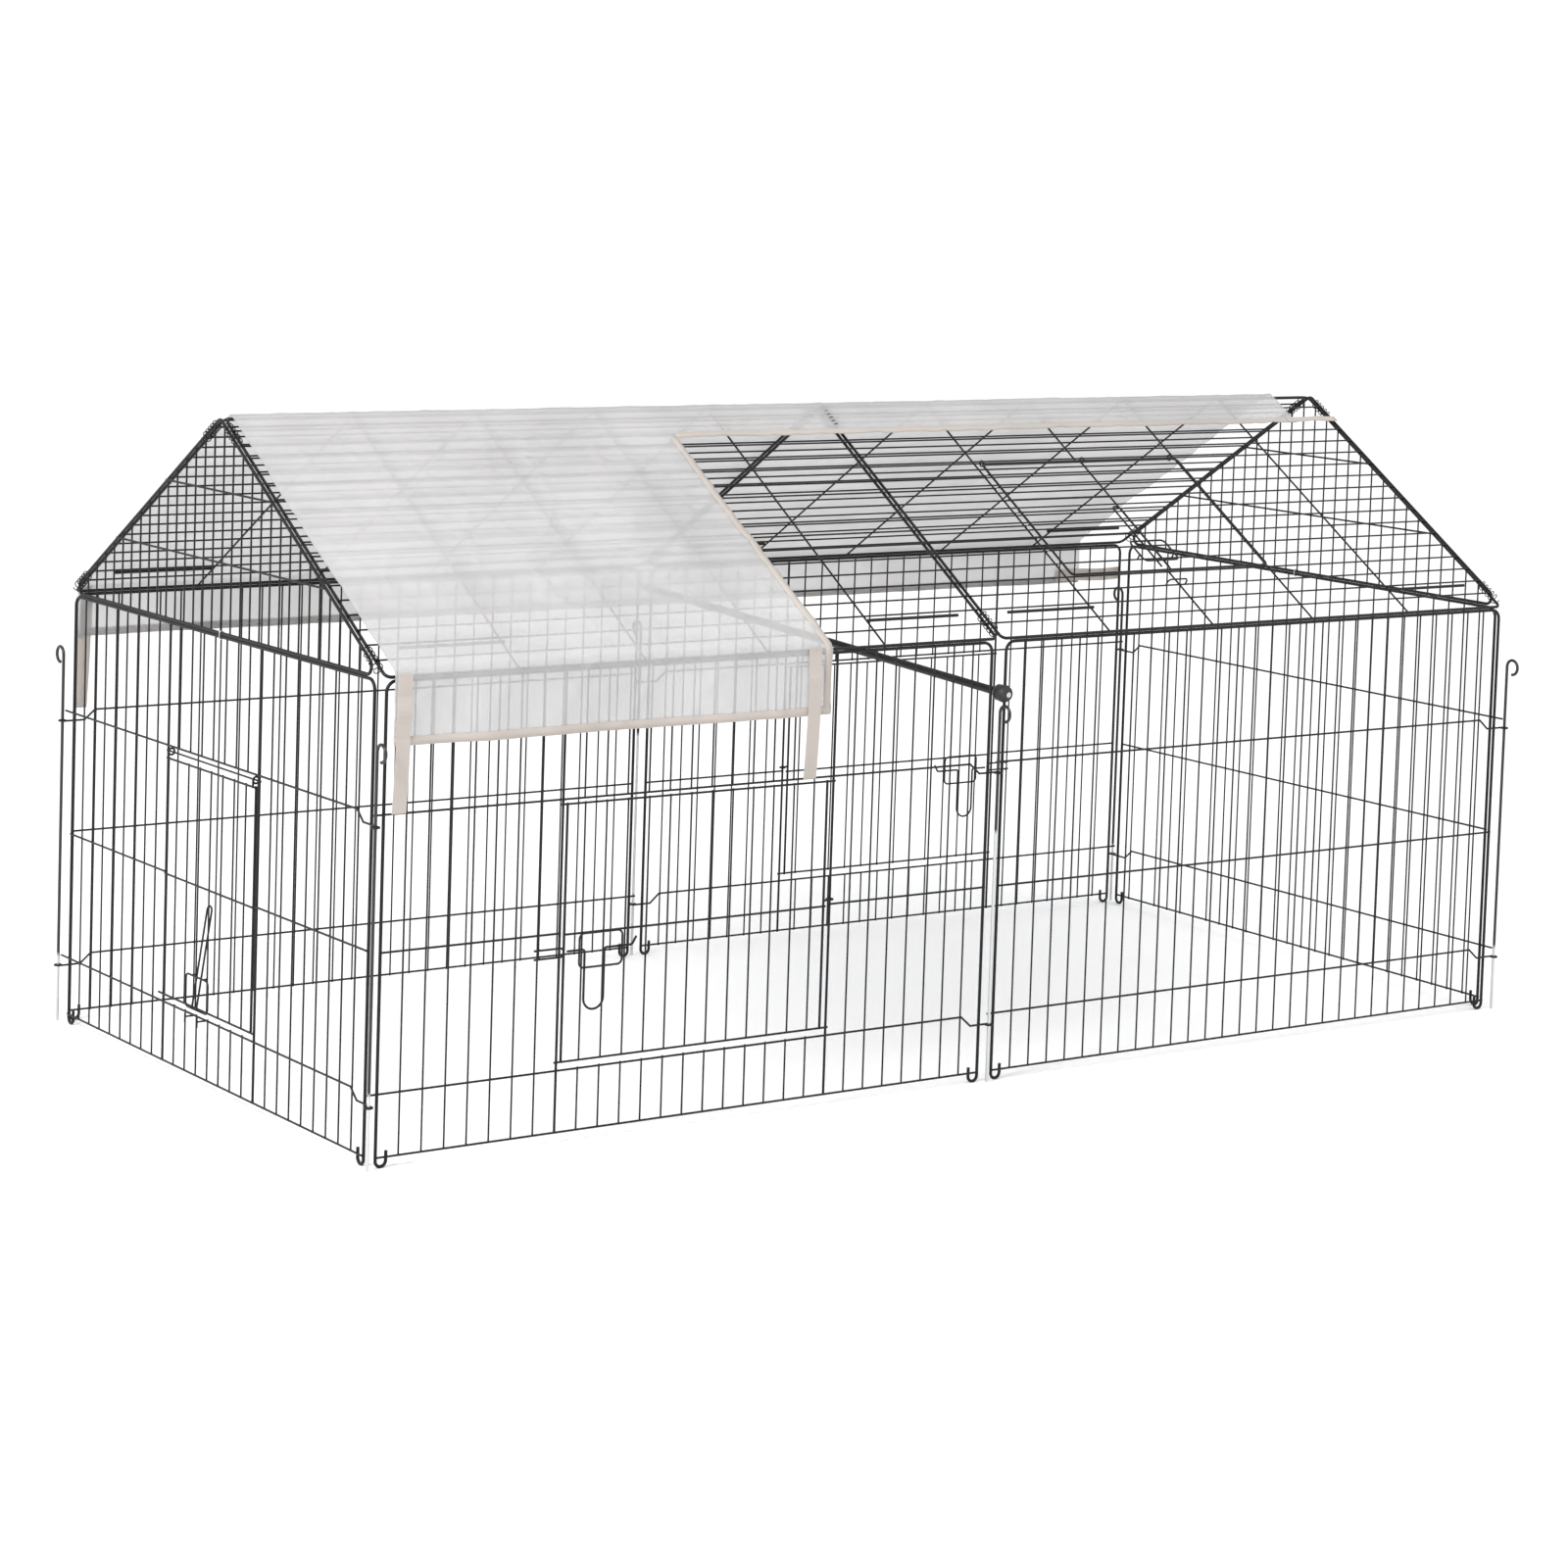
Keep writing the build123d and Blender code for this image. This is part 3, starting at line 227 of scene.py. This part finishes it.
coat, plate, plastic = powder_coat(), zinc(), moulded()
corner_pin, middle_pin = two_tone_pin(CORNER_COAT_Z), two_tone_pin(MIDDLE_COAT_Z)
cover_cloth = cloth("cover_polyester", (0.60, 0.592, 0.59), (0.69, 0.682, 0.68), 0.3, 0.43)
tape_cloth = cloth("binding_tape", (0.45, 0.41, 0.37), (0.54, 0.49, 0.45), 0.15, 1.0)


def node_material(name):
    if name.endswith("middle_pin"):
        return middle_pin
    if name.endswith("_pin"):
        return corner_pin
    if name in ("tube_knob", "tube_plugs"):
        return plastic
    if name in ("tube_washers", "back_screw", "knob_screw", "gable_ties"):
        return plate
    return coat


for name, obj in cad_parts.items():
    for held in obj.material_slots:
        held.link = "OBJECT"
        held.material = node_material(name)


# Rain cover
def ripple(x, s):
    """How far the cloth stands off its flat line: creases on the slopes, waves on the valances."""
    down = abs(s)
    lift = noise.noise(Vector((x * SWELL_X, s * SWELL_S, SWELL_SEED))) * SWELL_HEIGHT + SWELL_MEAN
    for slant, size, seed, height in CREASES:
        crease = abs(noise.noise(Vector((x * size + s * slant, s * size * CREASE_STRETCH, seed))))
        lift += height * max(0.0, CREASE_WIDTH - crease) / CREASE_WIDTH
    if down > SLOPE_S:
        hang = min(1.0, (down - SLOPE_S) / FOLD_FADE)
        wide_folds = math.sin(x * 21 + 2.0 * math.sin(x * 5))
        narrow_folds = 0.5 * math.sin(x * 47 + 1.3)
        lift += hang * FOLD_HEIGHT * (wide_folds + narrow_folds + FOLD_MEAN)
    calm = CALM_SHARE + (1 - CALM_SHARE) * min(1.0, down / CALM_REACH)
    settled = SETTLE * (1 - min(1.0, max(0.0, (down - SETTLE_REACH) / SETTLE_FADE)))
    return max(LOWEST, lift * calm) - settled


def surface(x, s, extra=0.0):
    """A point on the cloth, which bends over the ridge and folds down at the eaves."""
    side = -1 if s > 0 else 1
    down = abs(s)
    off = COVER_LIFT + ripple(x, s) + extra
    if down <= SLOPE_S:
        y = RIDGE_Y + down * math.cos(SLOPE) + off * math.sin(SLOPE)
        z = RIDGE_Z - down * math.sin(SLOPE) + off * math.cos(SLOPE)
        near = max(0.0, 1 - down / RIDGE_BEND)
        peak = RIDGE_Y * math.tan(SLOPE) + off * (1 / math.cos(SLOPE) - math.cos(SLOPE))
        y *= 1 - near
        z += near * peak * RIDGE_ROUND
    else:
        y = WALL_Y + off - COVER_LIFT
        z = FOLD_Z - (down - SLOPE_S)
    return Vector((x, side * y, z))


def add_object(name, bm, material, smooth=False):
    """Turn a built-up mesh into an object with one material."""
    mesh = bpy.data.meshes.new(name)
    bm.to_mesh(mesh)
    bm.free()
    for face in mesh.polygons:
        face.use_smooth = smooth
    obj = bpy.data.objects.new(name, mesh)
    bpy.context.collection.objects.link(obj)
    mesh.materials.append(material)
    return obj


def thicken(obj, thickness, offset):
    solid = obj.modifiers.new("thickness", "SOLIDIFY")
    solid.thickness = thickness
    solid.offset = offset
    return obj


def cloth_grid(name, x_range, s_range, material, extra=0.0, keep=None, thick=CLOTH_T):
    """A sheet of the cover's surface between two places along it and two down it."""
    nx = max(2, round((x_range[1] - x_range[0]) / CLOTH_STEP))
    ns = max(2, round((s_range[1] - s_range[0]) / CLOTH_STEP))
    bm = bmesh.new()
    xs = [x_range[0] + (x_range[1] - x_range[0]) * i / nx for i in range(nx + 1)]
    ss = [s_range[0] + (s_range[1] - s_range[0]) * j / ns for j in range(ns + 1)]
    rows = [[bm.verts.new(surface(x, s, extra)) for s in ss] for x in xs]
    for i in range(nx):
        for j in range(ns):
            middle = ((xs[i] + xs[i + 1]) / 2, (ss[j] + ss[j + 1]) / 2)
            if keep is None or keep(*middle):
                bm.faces.new((rows[i][j], rows[i + 1][j], rows[i + 1][j + 1], rows[i][j + 1]))
    bmesh.ops.delete(bm, geom=[v for v in bm.verts if not v.link_faces], context="VERTS")
    return thicken(add_object(name, bm, material, smooth=True), thick, 0.0)


def in_cover(x, s):
    return x < FLAP_X or s < STRIP


def tape(name, x_range, s_range, layers=1):
    """A strip of binding on the cloth, or on another strip."""
    return cloth_grid(name, x_range, s_range, tape_cloth, layers * TAPE_LIFT, thick=TAPE_T)


def ribbon(name, points, across):
    """A flat strap along a line of points."""
    bm = bmesh.new()
    rows = [[bm.verts.new(p + across * w) for w in (-STRAP_W / 2, 0, STRAP_W / 2)] for p in points]
    for a, b in zip(rows, rows[1:]):
        for k in (0, 1):
            bm.faces.new((a[k], a[k + 1], b[k + 1], b[k]))
    return thicken(add_object(name, bm, tape_cloth), STRAP_T, -1.0)


def hanging(name, x, side):
    """A strap from the eave down over the valance, clear of its folds, that drifts to the left."""
    hem_z = FRONT_HEM_Z if side < 0 else BACK_HEM_Z
    points = []
    for i in range(STRAP_STEPS + 1):
        t = i / STRAP_STEPS
        z = FOLD_Z + (STRAP_END_Z - FOLD_Z) * t
        s = -side * (SLOPE_S + FOLD_Z - max(z, hem_z))
        highest = max(ripple(x + k * STRAP_W / 8, s) for k in range(-5, 6))
        stand = highest + TAPE_LIFT + STRAP_STAND
        points.append(Vector((x - STRAP_DRIFT * t * t, side * (WALL_Y + stand), z)))
    return ribbon(name, points, Vector((1, 0, 0)))


def level_strap(name, start, end, height):
    """The strap that lies level at the back valance's end."""
    points = []
    for i in range(LEVEL_STRAP_STEPS + 1):
        x = start + (end - start) * i / LEVEL_STRAP_STEPS
        z = height + LEVEL_STRAP_WAVE * math.sin(i / 3)
        points.append(Vector((x, WALL_Y - LEVEL_STRAP_IN, z)))
    return ribbon(name, points, Vector((0, 0, 1)))


cover = cloth_grid("cover_sheet", (LEFT_X, RIGHT_X), (BACK_S, FRONT_S), cover_cloth, keep=in_cover)
tapes = [
    tape("tape_front_hem", (LEFT_X, FLAP_X), (FRONT_S - TAPE_W, FRONT_S)),
    tape("tape_back_hem", (LEFT_X, RIGHT_X), (BACK_S, BACK_S + TAPE_W)),
    tape("tape_strip", (FLAP_X, RIGHT_X), (STRIP - TAPE_W, STRIP)),
    tape("tape_ridge_tie", (RIGHT_X - TIE_OVERLAP, TIE_X), (STRIP - TAPE_W, STRIP), 2),
    tape("tape_flap", (FLAP_X - TAPE_W, FLAP_X), (STRIP, FRONT_S)),
]
straps = [hanging(f"strap_front_{i}", x, -1) for i, x in enumerate(STRAP_XS)]
straps.append(hanging("strap_back", STRAP_XS[0], 1))
straps.append(level_strap("strap_level", *LEVEL_STRAP))

for piece in [cover, *tapes, *straps]:
    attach(piece, "run")
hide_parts("rain_cover")
for piece in straps:
    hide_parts("cover_straps")

# Floor
floor_mat, floor_tree, floor_shader = new_material("floor", (0.97, 0.97, 0.98), 0.9)
add_tone(floor_tree, floor_shader, 1.5, [(0.3, (0.96, 0.965, 0.975)), (0.7, (0.98, 0.98, 0.985))])
floor_grid = bmesh.new()
bmesh.ops.create_grid(floor_grid, x_segments=2, y_segments=2, size=FLOOR_HALF)
floor = add_object("floor", floor_grid, floor_mat)

# Light
world = bpy.data.worlds.new("studio")
bpy.context.scene.world = world
world.use_nodes = True
world.node_tree.nodes["Background"].inputs["Color"].default_value = (1, 1, 1, 1)
world.node_tree.nodes["Background"].inputs["Strength"].default_value = WORLD_STRENGTH


def area_light(name, at, power, size):
    """A square lamp that faces the middle of the run."""
    data = bpy.data.lights.new(name, "AREA")
    data.energy, data.size = power, size
    obj = bpy.data.objects.new(name, data)
    bpy.context.collection.objects.link(obj)
    obj.location = at
    obj.rotation_euler = (Vector((0, 0, 0.5)) - Vector(at)).to_track_quat("-Z", "Y").to_euler()


area_light("key", (-4.5, -1.5, 3.6), 210, 1.2)
area_light("fill", (4.0, -3.0, 3.5), 40, 3.0)

# Camera
turn, tilt, roll = (math.radians(v) for v in (TURN, TILT, ROLL))
forward = Vector((-math.sin(turn) * math.cos(tilt), math.cos(turn) * math.cos(tilt), -math.sin(tilt)))
right = forward.cross(Vector((0, 0, 1))).normalized()
upward = right.cross(forward)
across = right * math.cos(roll) + upward * math.sin(roll)
upward = upward * math.cos(roll) - right * math.sin(roll)
camera_data = bpy.data.cameras.new("camera")
camera_data.sensor_width = SENSOR_MM
camera_data.lens = FOCAL_PX / FRAME_PX * SENSOR_MM
camera_data.shift_x, camera_data.shift_y = (shift / FRAME_PX for shift in SHIFT_PX)
camera_data.clip_end = 200
camera = bpy.data.objects.new("camera", camera_data)
bpy.context.collection.objects.link(camera)
axes = Matrix((across, upward, -forward)).transposed()
camera.matrix_world = Matrix.Translation(CAMERA_AT) @ axes.to_4x4()
bpy.context.scene.camera = camera
bpy.context.scene.view_settings.view_transform = "Standard"
